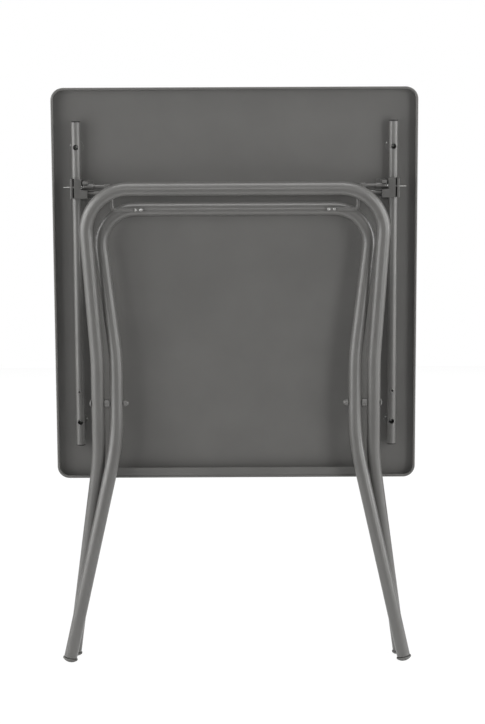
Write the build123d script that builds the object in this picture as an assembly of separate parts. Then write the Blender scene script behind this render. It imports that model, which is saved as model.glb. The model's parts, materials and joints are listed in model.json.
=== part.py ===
from build123d import *
import math
import os

# Folding balcony table, folded and standing on its four feet, seen from under the tabletop.
# Lengths are millimetres and angles are degrees. Every piece is laid out on the tray of the
# tabletop: x runs across it, "out" is the distance in front of its underside and "up" is the
# height above the foot line. The finished table then leans towards the front by lean_angle,
# so that its weight lies between its feet. Pieces are drawn on the +x side and mirrored.

lean_angle = 2.5

# Tabletop tray, pressed from sheet steel with its lip rolled inwards
table_width = 600.0
table_length = 650.0
table_corner_radius = 20.0
table_lower_edge_up = 309.0
sheet_thickness = 1.0
lip_depth = 16.0
lip_hem_width = 4.0
lip_hem_depth = 4.0
lip_hem_round = 1.6
table_edge_round = 2.2

# Stiffener strip inside the lower lip
strip_end_inset = 85.0
strip_width = 13.0
strip_thickness = 1.5

# Slide rails
rail_diameter = 14.6
rail_wall = 1.2
rail_edge_inset = 40.0
rail_low_end_inset = 58.0
rail_high_end_inset = 55.5
rail_tray_gap = 5.7
rail_cap_flange = 1.6
rail_cap_plug_length = 8.0
rail_cap_round = 0.8
lower_screw_inset = 38.0
upper_screw_inset = 41.0
stop_rivet_above_screw = 52.0

# Rail screws and the standoffs that they thread into
rail_screw_radius = 2.5
rail_screw_head_radius = 3.9
rail_screw_head_height = 2.4
rail_screw_socket_radius = 1.5
rail_screw_socket_depth = 1.4
rail_screw_tip_out = 1.2
screw_access_radius = 4.4
standoff_post_radius = 5.5
standoff_base_radius = 12.0
standoff_base_thickness = 1.6

# Hollow rivets that stop the sliders
stop_rivet_head_radius = 3.8
stop_rivet_head_height = 1.8
stop_rivet_shank_radius = 2.2
stop_rivet_hole_radius = 1.25
stop_rivet_tail = 1.5

# Axes of the folding linkage
hinge_below_rail_end = 103.5
hinge_rail_reach = 21.0
slider_axis_drop = 10.0
slider_axis_rail_reach = 29.6
pivot_below_hinge = 358.6
pivot_rail_reach = 27.0

# Fixed hooks on the tray that carry the outer frame's stub axles
hook_clamp_gap = 2.7
hook_thickness = 8.2
hook_beak_height = 5.0
hook_beak_reach = 5.5
hook_nose_round = 1.2
hook_flange_width = 15.0
hook_flange_height = 11.0
hook_flange_thickness = 2.5

# Sliders, each a split clamp on a liner
clamp_length = 32.0
clamp_side_wall = 1.02
clamp_centre_rise = 5.5
clamp_round = 1.0
clamp_slit_width = 2.4
clamp_slit_offset = 4.3
liner_thickness = 0.8
ear_width = 11.2
ear_low_drop = 8.5
ear_top_rise = 4.5
ear_back_inset = 3.0
ear_front_reach = 5.6
channel_width = 10.0
channel_wall = 1.0
channel_back_gap = 1.0
channel_back_wall = 1.6
channel_front_reach = 3.6

# Self-tapping screws that close the clamps
clamp_screw_rise = 2.5
clamp_screw_bore_wall = 2.02
clamp_screw_front_wall = 2.0
clamp_screw_radius = 1.7
clamp_screw_head_radius = 3.0
clamp_screw_head_height = 1.9
clamp_screw_tip_length = 12.0
clamp_screw_tip_radius = 0.45

# Frame tube and the outer frame, which turns in the fixed hooks
tube_diameter = 22.0
tube_wall = 1.2
knee_bend_radius = 420.0
outer_crossbar_drop = 2.5
outer_crossbar_axle_gap = 12.7
outer_corner_spread = 18.9
outer_corner_radius = 70.0
outer_waist_rail_inset = 31.5
outer_upper_knee_rise = 74.6
outer_lower_knee_drop = 92.4
outer_splay_angle = 7.95

# Inner frame, which turns in the sliders
inner_crossbar_drop = 28.0
inner_corner_spread = 29.5
inner_corner_radius = 57.0
inner_upper_knee_rise = 76.4
inner_lower_knee_drop = 64.7
inner_splay_angle = 12.7

# Stub axles of the outer frame
axle_radius = 3.0
axle_end_round = 0.6
stub_axle_hook_inset = 1.3
stub_lug_hook_gap = 27.4
stub_knob_length = 9.45
stub_knob_radius = 4.4
stub_knob_round = 2.6
stub_collar_thickness = 1.7
stub_collar_radius = 4.7
stub_lug_width = 8.5
stub_lug_low_drop = 4.8
stub_lug_top_rise = 4.2
stub_lug_depth = 22.0

# Crank rods of the inner frame
crank_palm_tab_inset = 51.0
crank_palm_length = 20.0
crank_palm_height = 6.6
crank_palm_thickness = 3.4
crank_palm_overlap = 4.0
crank_tab_ear_inset = 38.6
crank_ear_reach = 7.2
crank_rod_step = 3.05
crank_bend_radius = 7.0
crank_rivet_inset = 3.6
crank_rivet_pitch = 9.5
crank_rivet_radius = 1.5
crank_rivet_head_radius = 2.4
crank_rivet_head_height = 1.3
crank_rivet_tail = 2.5

# Pivot bolts, spacers and cap nuts where the frames cross
bolt_radius = 3.0
bolt_head_radius = 6.2
bolt_head_height = 3.4
bolt_head_rim = 0.9
spacer_radius = 7.0
spacer_length = 8.35
nut_half_width = 5.0
nut_height = 4.6
nut_dome_radius = 4.3
nut_bore_depth = 7.0

# Moulded feet
foot_rim_radius = 12.4
foot_rim_height = 2.4
foot_dome_depth = 5.2
foot_neck_radius = 10.1
foot_neck_height = 1.5
foot_plug_length = 16.0
foot_flat_depth = 0.4

# Clearances and overrun
seat_clearance = 0.05
running_clearance = 0.05
liner_clearance = 0.08
moving_clearance = 0.35
tangent_gap = 0.25
overrun = 5.0

# Values worked out from the sizes above: tubes and rails
tube_radius = tube_diameter / 2
tube_bore_radius = tube_radius - tube_wall
rail_radius = rail_diameter / 2
rail_bore_radius = rail_radius - rail_wall
rail_out = rail_tray_gap + rail_radius
rail_half_span = table_width / 2 - rail_edge_inset
tray_middle_up = table_lower_edge_up + table_length / 2
rail_low_up = table_lower_edge_up + rail_low_end_inset
rail_high_up = table_lower_edge_up + table_length - rail_high_end_inset
rail_screw_ups = (rail_low_up + lower_screw_inset, rail_high_up - upper_screw_inset)
stop_rivet_up = rail_screw_ups[0] + stop_rivet_above_screw
strip_half_length = table_width / 2 - strip_end_inset

# Axes of the linkage
hinge_up = rail_high_up - hinge_below_rail_end
hinge_out = rail_out + hinge_rail_reach
slider_axis_up = hinge_up - slider_axis_drop
slider_axis_out = rail_out + slider_axis_rail_reach
pivot_up = hinge_up - pivot_below_hinge
pivot_out = rail_out + pivot_rail_reach

# Sliders and hooks
clamp_bore_radius = rail_radius + liner_clearance + liner_thickness
clamp_half_width = clamp_bore_radius + clamp_side_wall
clamp_inner_x = rail_half_span - clamp_half_width
clamp_outer_x = rail_half_span + clamp_half_width
clamp_centre_up = slider_axis_up + clamp_centre_rise
clamp_low_up = clamp_centre_up - clamp_length / 2
clamp_high_up = clamp_centre_up + clamp_length / 2
clamp_screw_up = clamp_centre_up + clamp_screw_rise
clamp_screw_out = rail_out + clamp_bore_radius + clamp_screw_bore_wall + clamp_screw_radius
clamp_front_out = clamp_screw_out + clamp_screw_radius + clamp_screw_front_wall
ear_inner_x = clamp_inner_x - ear_width
hook_inner_x = clamp_inner_x - hook_clamp_gap - hook_thickness
slider_travel = clamp_low_up - stop_rivet_up - stop_rivet_head_radius - moving_clearance

# Frames
outer_waist_half_span = rail_half_span - outer_waist_rail_inset
inner_waist_half_span = outer_waist_half_span - tube_diameter - spacer_length - moving_clearance
outer_crossbar_up = hinge_up - outer_crossbar_drop
outer_crossbar_out = hinge_out + outer_crossbar_axle_gap + tube_radius
inner_crossbar_up = slider_axis_up - inner_crossbar_drop
crank_rod_out = slider_axis_out - crank_rod_step
crank_palm_back_out = crank_rod_out - axle_radius
inner_crossbar_out = crank_palm_back_out - tangent_gap - tube_radius
outer_tilt = math.atan2(outer_crossbar_out - pivot_out, outer_crossbar_up - pivot_up)
inner_tilt = math.atan2(inner_crossbar_out - pivot_out, inner_crossbar_up - pivot_up)
dome_radius = (foot_rim_radius**2 + foot_dome_depth**2) / (2 * foot_dome_depth)

# Stub axles, crank rods and cap nuts
stub_axle_outer_x = hook_inner_x + hook_thickness - stub_axle_hook_inset
stub_axle_inner_x = hook_inner_x - stub_lug_hook_gap - stub_lug_width
crank_outer_x = ear_inner_x + crank_ear_reach
crank_tab_x = ear_inner_x - crank_tab_ear_inset
crank_palm_inner_x = crank_tab_x - crank_palm_tab_inset
crank_rod_start_x = crank_palm_inner_x + crank_palm_length - crank_palm_overlap
nut_seat_x = inner_waist_half_span - tube_radius - moving_clearance


def spot(x, out, up):
    """Point at a distance across, in front of and above the tray's datum."""
    return Vector(x, -out, up)


def bar(start, end, radius):
    """Round bar between two points."""
    along = end - start
    return extrude(Plane(origin=start, z_dir=along) * Circle(radius), along.length)


def block(x_range, out_range, up_range):
    """Block between two values of each coordinate."""
    low = spot(x_range[0], out_range[1], up_range[0])
    size = spot(x_range[1], out_range[0], up_range[1]) - low
    middle = low + size / 2
    return Pos(middle.X, middle.Y, middle.Z) * Box(size.X, size.Y, size.Z)


def slab(width, length, radius, near, far):
    """Rounded plate, centred on the tray, between two distances in front of its underside."""
    face = Plane(origin=spot(0, near, tray_middle_up), x_dir=(1, 0, 0), z_dir=(0, -1, 0))
    return extrude(face * RectangleRounded(width, length, radius), far - near)


def both_sides(piece):
    """The piece and its mirror image, as left and right."""
    return {"left": mirror(piece, about=Plane.YZ), "right": piece}


def dome(radius, height):
    """Spherical cap on the plane z = 0, rising along z."""
    ball_radius = (radius**2 + height**2) / (2 * height)
    ball = Pos(0, 0, height - ball_radius) * Sphere(ball_radius)
    return ball & Pos(0, 0, height / 2) * Cylinder(radius + overrun, height)


def tabletop_panel():
    """Tray with a rounded outer edge and a lip that ends in a rolled hem."""
    blank = slab(table_width, table_length, table_corner_radius, -sheet_thickness, lip_depth)
    blank = fillet(blank.edges().group_by(Axis.Y)[-1], table_edge_round)
    hollow = slab(
        table_width - 2 * sheet_thickness,
        table_length - 2 * sheet_thickness,
        table_corner_radius - sheet_thickness,
        0,
        lip_depth + overrun,
    )
    hem_back = lip_depth - lip_hem_depth
    hem = slab(table_width, table_length, table_corner_radius, hem_back, lip_depth)
    hem -= slab(
        table_width - 2 * lip_hem_width,
        table_length - 2 * lip_hem_width,
        table_corner_radius - lip_hem_width,
        hem_back - overrun,
        lip_depth + overrun,
    )
    tray = blank - hollow + hem
    return fillet(tray.edges().group_by(Axis.Y)[0], lip_hem_round)


def edge_strip():
    """Angle strip inside the lower lip: a flange level with the hem and a web to the sheet."""
    low = table_lower_edge_up + lip_hem_width + tangent_gap
    across = (-strip_half_length, strip_half_length)
    flange = block(across, (lip_depth - strip_thickness, lip_depth), (low, low + strip_width))
    web = block(across, (0, lip_depth), (low, low + strip_thickness))
    return flange + web


def rail_core(radius):
    """Solid bar the length of the rail."""
    low = spot(rail_half_span, rail_out, rail_low_up)
    return bar(low, spot(rail_half_span, rail_out, rail_high_up), radius)


def rail():
    """Slide rail with its screw holes and its stop rivet hole."""
    tube = rail_core(rail_radius) - rail_core(rail_bore_radius)
    for up in rail_screw_ups:
        centre = spot(rail_half_span, rail_out, up)
        front = spot(rail_half_span, rail_out + rail_radius + overrun, up)
        tube -= bar(centre, front, screw_access_radius)
        tube -= bar(spot(rail_half_span, 0, up), centre, rail_screw_radius + seat_clearance)
    rivet_back = spot(rail_half_span, 0, stop_rivet_up)
    rivet_front = spot(rail_half_span, rail_out + rail_radius + overrun, stop_rivet_up)
    return tube - bar(rivet_back, rivet_front, stop_rivet_shank_radius + seat_clearance)


def rail_end_cap(end_up, inwards):
    """Cap with a rounded flange and a plug; inwards is the way into the rail along up."""
    seat = Plane(origin=spot(rail_half_span, rail_out, end_up), z_dir=(0, 0, inwards))
    cap = extrude(seat * Circle(rail_radius), -rail_cap_flange)
    outer_edges = cap.edges().sort_by(Axis.Z)
    cap = fillet(outer_edges[0] if inwards > 0 else outer_edges[-1], rail_cap_round)
    return cap + extrude(seat * Circle(rail_bore_radius - seat_clearance), rail_cap_plug_length)


def rail_standoff(up):
    """Threaded post with a wide base on the tray and a saddle for the rail."""
    base_front = spot(rail_half_span, standoff_base_thickness, up)
    post = bar(spot(rail_half_span, 0, up), base_front, standoff_base_radius)
    post += bar(base_front, spot(rail_half_span, rail_out - rail_bore_radius, up), standoff_post_radius)
    post -= rail_core(rail_radius)
    tip = spot(rail_half_span, rail_screw_tip_out, up)
    return post - bar(tip, spot(rail_half_span, rail_out, up), rail_screw_radius + seat_clearance)


def rail_screw(up):
    """Socket head screw whose head lies inside the rail, under the access hole."""
    head_drop = math.sqrt(rail_bore_radius**2 - rail_screw_head_radius**2)
    head_back = rail_out - head_drop + seat_clearance
    head_front = head_back + rail_screw_head_height
    seat = spot(rail_half_span, head_back, up)
    screw = bar(spot(rail_half_span, rail_screw_tip_out, up), seat, rail_screw_radius)
    screw += bar(seat, spot(rail_half_span, head_front, up), rail_screw_head_radius)
    floor = spot(rail_half_span, head_front - rail_screw_socket_depth, up)
    return screw - bar(floor, spot(rail_half_span, rail_out, up), rail_screw_socket_radius)


def stop_rivet():
    """Hollow rivet through the rail, with a rounded head on its front."""
    front = rail_out + rail_radius
    seat = Plane(origin=spot(rail_half_span, front, stop_rivet_up), z_dir=(0, -1, 0))
    head = seat * dome(stop_rivet_head_radius, stop_rivet_head_height)
    skirt_back = spot(rail_half_span, rail_out, stop_rivet_up)
    head += bar(skirt_back, spot(rail_half_span, front, stop_rivet_up), stop_rivet_head_radius)
    head -= rail_core(rail_radius)
    tail = spot(rail_half_span, rail_out - rail_radius - stop_rivet_tail, stop_rivet_up)
    rivet = head + bar(tail, spot(rail_half_span, front, stop_rivet_up), stop_rivet_shank_radius)
    mouth = spot(rail_half_span, front + stop_rivet_head_height + overrun, stop_rivet_up)
    return rivet - bar(spot(rail_half_span, 0, stop_rivet_up), mouth, stop_rivet_hole_radius)


def hinge_hook():
    """Fixed hook: a beak over the stub axle and a wall behind it, open to the front and below."""
    saddle = axle_radius + moving_clearance
    beak_low = hinge_up + saddle
    beak_high = beak_low + hook_beak_height
    wall_low = hinge_up - axle_radius
    wall_front = hinge_out - saddle
    profile = Polyline(
        spot(0, 0, wall_low),
        spot(0, wall_front, wall_low),
        spot(0, wall_front, beak_low),
        spot(0, hinge_out + hook_beak_reach, beak_low),
        spot(0, hinge_out + hook_beak_reach, beak_high),
        spot(0, 0, beak_high),
        close=True,
    )
    hook = Pos(hook_inner_x, 0, 0) * extrude(make_face(profile), hook_thickness, dir=(1, 0, 0))
    hook = fillet(hook.edges().filter_by(Axis.X).sort_by(Axis.Y)[0:2], hook_nose_round)
    back_x = hook_inner_x + hook_thickness
    flange = block(
        (back_x - hook_flange_width, back_x),
        (0, hook_flange_thickness),
        (wall_low, wall_low + hook_flange_height),
    )
    return hook + flange


def slider_clamp():
    """Split clamp block with the ear and channel that hold the inner frame's crank rod."""
    x_range = (clamp_inner_x, clamp_outer_x)
    up_range = (clamp_low_up, clamp_high_up)
    body = block(x_range, (rail_out - clamp_half_width, clamp_front_out), up_range)
    body = fillet(body.edges().filter_by(Axis.Z), clamp_round)
    ear_up = (slider_axis_up - ear_low_drop, slider_axis_up + ear_top_rise)
    ear_out = (rail_out + ear_back_inset, slider_axis_out + ear_front_reach)
    body += block((ear_inner_x, clamp_inner_x + clamp_round), ear_out, ear_up)
    channel_x = (ear_inner_x - channel_width, ear_inner_x)
    channel_back = slider_axis_out - axle_radius - channel_back_gap - channel_back_wall
    channel_front = slider_axis_out + channel_front_reach
    channel = block(channel_x, (channel_back, channel_front), ear_up)
    channel -= block(
        (channel_x[0] - overrun, channel_x[1]),
        (channel_back + channel_back_wall, channel_front + overrun),
        (ear_up[0] + channel_wall, ear_up[1] - channel_wall),
    )
    body += channel
    low = spot(rail_half_span, rail_out, clamp_low_up - overrun)
    body -= bar(low, spot(rail_half_span, rail_out, clamp_high_up + overrun), clamp_bore_radius)
    slit_middle = rail_half_span + clamp_slit_offset
    body -= block(
        (slit_middle - clamp_slit_width / 2, slit_middle + clamp_slit_width / 2),
        (rail_out, clamp_front_out + overrun),
        (clamp_low_up - overrun, clamp_high_up + overrun),
    )
    axle_end = spot(crank_outer_x + moving_clearance, slider_axis_out, slider_axis_up)
    axle_start = spot(channel_x[0] - overrun, slider_axis_out, slider_axis_up)
    body -= bar(axle_start, axle_end, axle_radius + running_clearance)
    screw_start = spot(clamp_inner_x - overrun, clamp_screw_out, clamp_screw_up)
    screw_end = spot(clamp_outer_x + overrun, clamp_screw_out, clamp_screw_up)
    return body - bar(screw_start, screw_end, clamp_screw_radius + seat_clearance)


def slider_liner():
    """Sleeve between the rail and the clamp."""
    low = spot(rail_half_span, rail_out, clamp_low_up)
    high = spot(rail_half_span, rail_out, clamp_high_up)
    return bar(low, high, clamp_bore_radius) - bar(low, high, rail_radius + liner_clearance)


def clamp_screw():
    """Self-tapping screw across the clamp's slit, with its point standing out at the side."""
    seat = spot(clamp_inner_x, clamp_screw_out, clamp_screw_up)
    head_end = spot(clamp_inner_x - clamp_screw_head_height, clamp_screw_out, clamp_screw_up)
    shank_end = spot(clamp_outer_x, clamp_screw_out, clamp_screw_up)
    point_plane = Plane(origin=shank_end, z_dir=(1, 0, 0))
    point = Cone(
        clamp_screw_radius,
        clamp_screw_tip_radius,
        clamp_screw_tip_length,
        align=(Align.CENTER, Align.CENTER, Align.MIN),
    )
    head = bar(seat, head_end, clamp_screw_head_radius)
    return head + bar(seat, shank_end, clamp_screw_radius) + point_plane * point


class Frame:
    """One bent tube frame, drawn in its own plane with the crossing pivot as its origin."""

    def __init__(self, crossbar_up, waist_half_span, corner_spread, corner_bend, knee_ups, splay, tilt):
        self.tilt = tilt
        self.waist = waist_half_span
        self.seat = Pos(0, -pivot_out, pivot_up) * Rot(X=math.degrees(tilt))
        leg_top = (waist_half_span + corner_spread, self.along(crossbar_up))
        upper_knee = (waist_half_span, self.along(knee_ups[0]))
        lower_knee = (waist_half_span, self.along(knee_ups[1]))
        dome_up = self.dome_centre_up()
        dome_x = waist_half_span + (knee_ups[1] - dome_up) * math.tan(math.radians(splay))
        dome_centre = Vector(dome_x, 0, self.along(dome_up))
        self.leg_way = (dome_centre - Vector(lower_knee[0], 0, lower_knee[1])).normalized()
        reach = dome_radius - foot_dome_depth - foot_rim_height - foot_neck_height
        self.leg_end = dome_centre + self.leg_way * reach
        right = [(self.leg_end.X, self.leg_end.Z), lower_knee, upper_knee, leg_top]
        left = [(-x, z) for x, z in reversed(right)]
        bends = [knee_bend_radius, knee_bend_radius, corner_bend]
        points = [(x, 0, z) for x, z in right + left]
        self.path = FilletPolyline(*points, radius=bends + bends[::-1])

    def along(self, up):
        """Distance from the pivot, measured in the frame's plane, of a height above the feet."""
        return (up - pivot_up) / math.cos(self.tilt)

    def dome_centre_up(self):
        """Height of the foot dome's centre, for a dome that stands on the leaning floor."""
        lean = math.radians(lean_angle)
        slope = math.tan(self.tilt)
        ground = dome_radius - foot_flat_depth + (pivot_out - pivot_up * slope) * math.sin(lean)
        return ground / (math.cos(lean) - slope * math.sin(lean))

    def core(self, radius):
        """Solid bar along the frame's path."""
        start = Plane(origin=self.path @ 0, z_dir=self.path % 0)
        return self.seat * sweep(start * Circle(radius), path=self.path)

    def tube(self):
        """Bent tube with the pivot holes through both legs."""
        reach = self.waist + tube_radius + overrun
        left = spot(-reach, pivot_out, pivot_up)
        hole = bar(left, spot(reach, pivot_out, pivot_up), bolt_radius + running_clearance)
        return self.core(tube_radius) - self.core(tube_bore_radius) - hole

    def foot(self):
        """Moulded foot: a plug in the tube, a narrow neck and a shallow bowl under it."""
        seat = Plane(origin=self.leg_end, z_dir=-self.leg_way)
        rim_top = seat.offset(-foot_neck_height)
        rim_low = seat.offset(-foot_neck_height - foot_rim_height)
        piece = extrude(seat * Circle(tube_bore_radius - seat_clearance), foot_plug_length)
        piece += extrude(seat * Circle(foot_neck_radius), -foot_neck_height)
        piece += extrude(rim_top * Circle(foot_rim_radius), -foot_rim_height)
        bowl = Plane(origin=rim_low.origin, z_dir=self.leg_way)
        return self.seat * (piece + bowl * dome(foot_rim_radius, foot_dome_depth))


def stub_axle(outer_core):
    """Axle in the fixed hook: a bar with a collar and a knob, and a lug welded to the tube."""
    inner = spot(stub_axle_inner_x, hinge_out, hinge_up)
    axle = bar(inner, spot(stub_axle_outer_x, hinge_out, hinge_up), axle_radius)
    axle = fillet(axle.edges().sort_by(Axis.X)[-1], axle_end_round)
    collar_outer_x = hook_inner_x - moving_clearance
    collar_inner_x = collar_outer_x - stub_collar_thickness
    collar_inner = spot(collar_inner_x, hinge_out, hinge_up)
    knob_start = spot(collar_inner_x - stub_knob_length, hinge_out, hinge_up)
    knob = bar(knob_start, collar_inner, stub_knob_radius)
    knob = fillet(knob.edges().sort_by(Axis.X)[0], stub_knob_round)
    collar = bar(collar_inner, spot(collar_outer_x, hinge_out, hinge_up), stub_collar_radius)
    lug = block(
        (stub_axle_inner_x, stub_axle_inner_x + stub_lug_width),
        (hinge_out, hinge_out + stub_lug_depth),
        (hinge_up - stub_lug_low_drop, hinge_up + stub_lug_top_rise),
    )
    return axle + knob + collar + (lug - outer_core)


def crank_rivet_places():
    """Distances across of one crank rod's rivets."""
    first = crank_palm_inner_x + crank_rivet_inset
    return (first, first + crank_rivet_pitch)


def crank_rod():
    """Rod riveted to the front of the inner crossbar and bent up and outwards into the slider."""
    path = FilletPolyline(
        spot(crank_rod_start_x, crank_rod_out, inner_crossbar_up),
        spot(crank_tab_x, crank_rod_out, inner_crossbar_up),
        spot(crank_tab_x, slider_axis_out, slider_axis_up),
        spot(crank_outer_x, slider_axis_out, slider_axis_up),
        radius=crank_bend_radius,
    )
    rod = sweep(Plane(origin=path @ 0, z_dir=path % 0) * Circle(axle_radius), path=path)
    rod += block(
        (crank_palm_inner_x, crank_palm_inner_x + crank_palm_length),
        (crank_palm_back_out, crank_palm_back_out + crank_palm_thickness),
        (inner_crossbar_up - crank_palm_height / 2, inner_crossbar_up + crank_palm_height / 2),
    )
    for x in crank_rivet_places():
        rod -= crank_rivet_hole(x)
    return rod


def crank_rivet_hole(x):
    """Hole for a crank rivet through the palm and the crossbar's front wall."""
    back = spot(x, inner_crossbar_out, inner_crossbar_up)
    front = spot(x, crank_rod_out + axle_radius + overrun, inner_crossbar_up)
    return bar(back, front, crank_rivet_radius + seat_clearance)


def crank_rivet(x):
    """Round head rivet through the palm into the crossbar."""
    palm_front = crank_palm_back_out + crank_palm_thickness
    tail_out = inner_crossbar_out + tube_bore_radius - crank_rivet_tail
    seat = Plane(origin=spot(x, palm_front, inner_crossbar_up), z_dir=(0, -1, 0))
    shank = bar(spot(x, tail_out, inner_crossbar_up), seat.origin, crank_rivet_radius)
    return shank + seat * dome(crank_rivet_head_radius, crank_rivet_head_height)


def pivot_bolt():
    """Round head bolt through both legs, with its head on the outer leg."""
    head_x = outer_waist_half_span + tube_radius
    seat = Plane(origin=spot(head_x, pivot_out, pivot_up), z_dir=(1, 0, 0))
    head = extrude(seat * Circle(bolt_head_radius), bolt_head_rim)
    head += seat.offset(bolt_head_rim) * dome(bolt_head_radius, bolt_head_height - bolt_head_rim)
    tip_x = nut_seat_x - nut_bore_depth + seat_clearance
    return head + bar(spot(tip_x, pivot_out, pivot_up), seat.origin, bolt_radius)


def pivot_spacer():
    """Sleeve that keeps the legs apart."""
    outer_x = outer_waist_half_span - tube_radius
    start = spot(outer_x - spacer_length, pivot_out, pivot_up)
    end = spot(outer_x, pivot_out, pivot_up)
    return bar(start, end, spacer_radius) - bar(start, end, bolt_radius + seat_clearance)


def pivot_nut():
    """Cap nut on the inner end of the bolt."""
    seat = Plane(origin=spot(nut_seat_x, pivot_out, pivot_up), z_dir=(-1, 0, 0))
    hexagon = RegularPolygon(nut_half_width, 6, major_radius=False)
    nut = extrude(seat * hexagon, nut_height)
    nut += seat.offset(nut_height) * dome(nut_dome_radius, nut_dome_radius)
    return nut - extrude(seat * Circle(bolt_radius + seat_clearance), nut_bore_depth)


def named_pieces():
    """Every node of the table and its solids, laid out on the tray."""
    outer = Frame(
        outer_crossbar_up,
        outer_waist_half_span,
        outer_corner_spread,
        outer_corner_radius,
        (pivot_up + outer_upper_knee_rise, pivot_up - outer_lower_knee_drop),
        outer_splay_angle,
        outer_tilt,
    )
    inner = Frame(
        inner_crossbar_up,
        inner_waist_half_span,
        inner_corner_spread,
        inner_corner_radius,
        (pivot_up + inner_upper_knee_rise, pivot_up - inner_lower_knee_drop),
        inner_splay_angle,
        inner_tilt,
    )
    inner_tube = inner.tube()
    for x in crank_rivet_places():
        inner_tube -= crank_rivet_hole(x)
        inner_tube -= crank_rivet_hole(-x)

    nodes = {
        "tabletop_panel": [tabletop_panel()],
        "edge_strip": [edge_strip()],
        "outer_frame_tube": [outer.tube()],
        "inner_frame_tube": [inner_tube],
    }
    handed = {
        "rail": rail(),
        "hinge_hook": hinge_hook(),
        "slider_clamp": slider_clamp(),
        "slider_liner": slider_liner(),
        "clamp_screw": clamp_screw(),
        "stub_axle": stub_axle(outer.core(tube_radius)),
        "crank_rod": crank_rod(),
        "outer_foot": outer.foot(),
        "inner_foot": inner.foot(),
        "pivot_bolt": pivot_bolt(),
        "pivot_spacer": pivot_spacer(),
        "pivot_nut": pivot_nut(),
    }
    for name, piece in handed.items():
        for side, solid in both_sides(piece).items():
            nodes[f"{side}_{name}"] = [solid]
    repeated = {
        "rail_end_caps": [rail_end_cap(rail_low_up, 1), rail_end_cap(rail_high_up, -1)],
        "rail_standoffs": [rail_standoff(up) for up in rail_screw_ups],
        "rail_screws": [rail_screw(up) for up in rail_screw_ups],
        "stop_rivets": [stop_rivet()],
        "crank_rivets": [crank_rivet(x) for x in crank_rivet_places()],
    }
    for name, pieces in repeated.items():
        nodes[name] = [solid for piece in pieces for solid in both_sides(piece).values()]
    return nodes


def stood_up(pieces):
    """The pieces leaned to the front, with the soles of the feet cut level with the floor."""
    lean = Rot(X=lean_angle)
    span = table_width + table_length
    below = Pos(0, 0, -span / 2) * Box(span, span, span)
    leaned = {}
    for name, solids in pieces.items():
        leaned[name] = [lean * solid for solid in solids]
        if name.endswith("_foot"):
            leaned[name] = [solid - below for solid in leaned[name]]
    return leaned


def write_parts():
    """Put the origin under the middle of the table's box and write one file for each node."""
    leaned = stood_up(named_pieces())
    boxes = [solid.bounding_box() for solids in leaned.values() for solid in solids]
    middle_y = (min(box.min.Y for box in boxes) + max(box.max.Y for box in boxes)) / 2
    os.makedirs("parts", exist_ok=True)
    for name, solids in leaned.items():
        placed = [Pos(0, -middle_y, 0) * solid for solid in solids]
        whole = placed[0] if len(placed) == 1 else Compound(children=placed)
        export_step(whole, f"parts/{name}.step")
    return middle_y


table_middle_y = write_parts()
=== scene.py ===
"""Folding balcony table: finishes, small fittings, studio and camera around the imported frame."""

import json
import logging
import math
from dataclasses import dataclass, field
from enum import Enum

import bmesh
import bpy
from mathutils import Matrix, Vector


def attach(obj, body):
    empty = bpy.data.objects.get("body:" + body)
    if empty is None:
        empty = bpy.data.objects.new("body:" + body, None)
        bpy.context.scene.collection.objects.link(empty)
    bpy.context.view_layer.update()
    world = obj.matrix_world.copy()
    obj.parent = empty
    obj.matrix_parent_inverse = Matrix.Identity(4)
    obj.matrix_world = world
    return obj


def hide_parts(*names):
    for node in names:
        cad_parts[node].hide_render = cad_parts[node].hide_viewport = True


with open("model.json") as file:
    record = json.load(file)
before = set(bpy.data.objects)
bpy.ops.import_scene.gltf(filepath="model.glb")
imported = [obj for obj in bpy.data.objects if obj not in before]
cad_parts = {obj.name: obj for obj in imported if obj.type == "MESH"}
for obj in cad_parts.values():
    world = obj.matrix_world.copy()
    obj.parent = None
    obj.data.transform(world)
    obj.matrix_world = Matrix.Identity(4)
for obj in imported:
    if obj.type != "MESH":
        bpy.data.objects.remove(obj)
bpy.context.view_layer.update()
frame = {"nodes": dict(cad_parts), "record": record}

log = logging.getLogger("balcony_table")

Colour = tuple[float, float, float]
Point = tuple[float, float, float]
Profile = list[tuple[float, float]]

MERGE_DISTANCE = 1e-6
POINT_DIGITS = 6
SORT_DIGITS = 4
SHARP_ANGLE = math.radians(38)
FINE_DETAIL = 2.0

# Places of the colour sockets of Blender's Mix node
MIX_FIRST = 6
MIX_SECOND = 7
MIX_RESULT = 2


class Side(Enum):
    """Side of the table as seen from its legs, as a sign along x."""

    LEFT = -1
    RIGHT = 1

    @property
    def word(self) -> str:
        """The side's word in node and body names."""
        return self.name.lower()


class Body(str, Enum):
    """Bodies of the folding table."""

    TABLETOP = "tabletop"
    OUTER_FRAME = "outer_frame"
    INNER_FRAME = "inner_frame"
    LEFT_SLIDER = "left_slider"
    RIGHT_SLIDER = "right_slider"


# Finishes


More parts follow.
